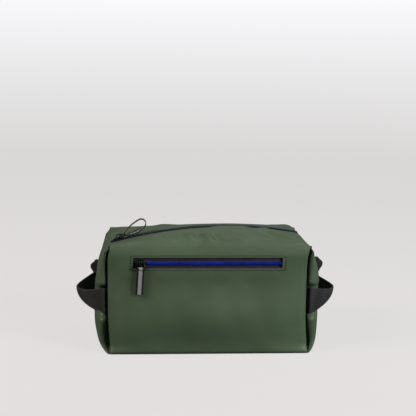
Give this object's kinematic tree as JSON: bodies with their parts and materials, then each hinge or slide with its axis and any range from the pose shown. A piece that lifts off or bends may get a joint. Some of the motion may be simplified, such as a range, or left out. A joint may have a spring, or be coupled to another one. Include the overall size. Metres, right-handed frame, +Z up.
{
  "type": "wash bag",
  "caption": "Soft boxy wash bag with a zipped top, a zipped front pocket, a lining and a webbing grab handle on each side.",
  "frame": {"origin": "middle of the flat base, on the surface that the bag stands on", "axes": "+Z up, +X to the right along the zip, the front with the pocket faces -Y"},
  "size_m": [0.2832, 0.1328, 0.1367],
  "materials": {
    "coated_cloth": "smooth rubberised matte green cloth",
    "lining_cloth": "plain weave, dark grey",
    "stiff_board": "grey stiffener board",
    "zip_tape": "woven tape, brown-black",
    "main_coil": "dark navy nylon coil",
    "blue_coil": "royal blue nylon coil",
    "black_metal": "satin black die-cast",
    "puller_ribbon": "black ribbon with a grey centre stripe",
    "webbing": "black polyester webbing"
  },
  "bodies": {
    "root": {"back_panel": "coated_cloth", "base_board": "stiff_board", "base_panel": "coated_cloth", "front_panel": "coated_cloth", "left_gusset": "coated_cloth", "left_handle_back_end": "webbing", "left_handle_front_end": "webbing", "left_hang_tab": "webbing", "lining": "lining_cloth", "main_bottom_stop": "black_metal", "main_coil_back_left": "main_coil", "main_coil_back_right": "main_coil", "main_coil_front_left": "main_coil", "main_coil_front_right": "main_coil", "main_tape_back_left": "zip_tape", "main_tape_back_right": "zip_tape", "main_tape_front_left": "zip_tape", "main_tape_front_right": "zip_tape", "main_top_stop_back": "black_metal", "main_top_stop_front": "black_metal", "pocket_bottom_stop": "black_metal", "pocket_coil_lower": "blue_coil", "pocket_coil_upper": "blue_coil", "pocket_pouch": "lining_cloth", "pocket_tape_lower": "zip_tape", "pocket_tape_upper": "zip_tape", "pocket_top_stop_lower": "black_metal", "pocket_top_stop_upper": "black_metal", "right_gusset": "coated_cloth", "right_handle_back_end": "webbing", "right_handle_front_end": "webbing", "right_hang_tab": "webbing", "top_left_end_back": "coated_cloth", "top_left_end_front": "coated_cloth", "top_right_end_back": "coated_cloth", "top_right_end_front": "coated_cloth"},
    "front_flap": {"top_front_flap": "coated_cloth", "main_tape_front_middle": "zip_tape", "main_coil_front_middle": "main_coil"},
    "back_flap": {"top_back_flap": "coated_cloth", "main_tape_back_middle": "zip_tape", "main_coil_back_middle": "main_coil"},
    "main_slider": {"main_slider": "black_metal"},
    "main_puller": {"main_pull_link": "black_metal", "main_pull_ribbon": "puller_ribbon"},
    "pocket_slider": {"pocket_slider": "black_metal"},
    "pocket_puller": {"pocket_pull_link": "black_metal", "pocket_pull_ribbon": "puller_ribbon"},
    "left_handle": {"left_handle": "webbing"},
    "right_handle": {"right_handle": "webbing"}
  },
  "joints": [
    {"name": "main_zip_slide", "type": "hinge", "parent": "root", "child": "main_slider", "pos_m": [0.022, 0, -0.3222], "axis": [0, 1, 0], "range_deg": [0, 23.9]},
    {"name": "main_puller_swing", "type": "hinge", "parent": "main_slider", "child": "main_puller", "pos_m": [-0.09527, 0, 0.11515], "axis": [0, 1, 0], "range_deg": [-130, 4]},
    {"name": "pocket_zip_slide", "type": "slide", "parent": "root", "child": "pocket_slider", "axis": [1, 0, 0], "range_m": [0, 0.14]},
    {"name": "pocket_puller_lift", "type": "hinge", "parent": "pocket_slider", "child": "pocket_puller", "pos_m": [-0.0726, -0.0653, 0.0991], "axis": [-1, 0, 0], "range_deg": [0, 150]},
    {"name": "front_flap_open", "type": "hinge", "parent": "root", "child": "front_flap", "pos_m": [0, -0.0595, 0.1155], "axis": [1, 0, 0], "range_deg": [0, 60]},
    {"name": "back_flap_open", "type": "hinge", "parent": "root", "child": "back_flap", "pos_m": [0, 0.0595, 0.1155], "axis": [-1, 0, 0], "range_deg": [0, 60]},
    {"name": "left_handle_swing", "type": "hinge", "parent": "root", "child": "left_handle", "pos_m": [-0.1065, 0, 0.054], "axis": [0, 1, 0], "range_deg": [-10, 25]},
    {"name": "right_handle_swing", "type": "hinge", "parent": "root", "child": "right_handle", "pos_m": [0.1065, 0, 0.054], "axis": [0, -1, 0], "range_deg": [-10, 25]}
  ]
}
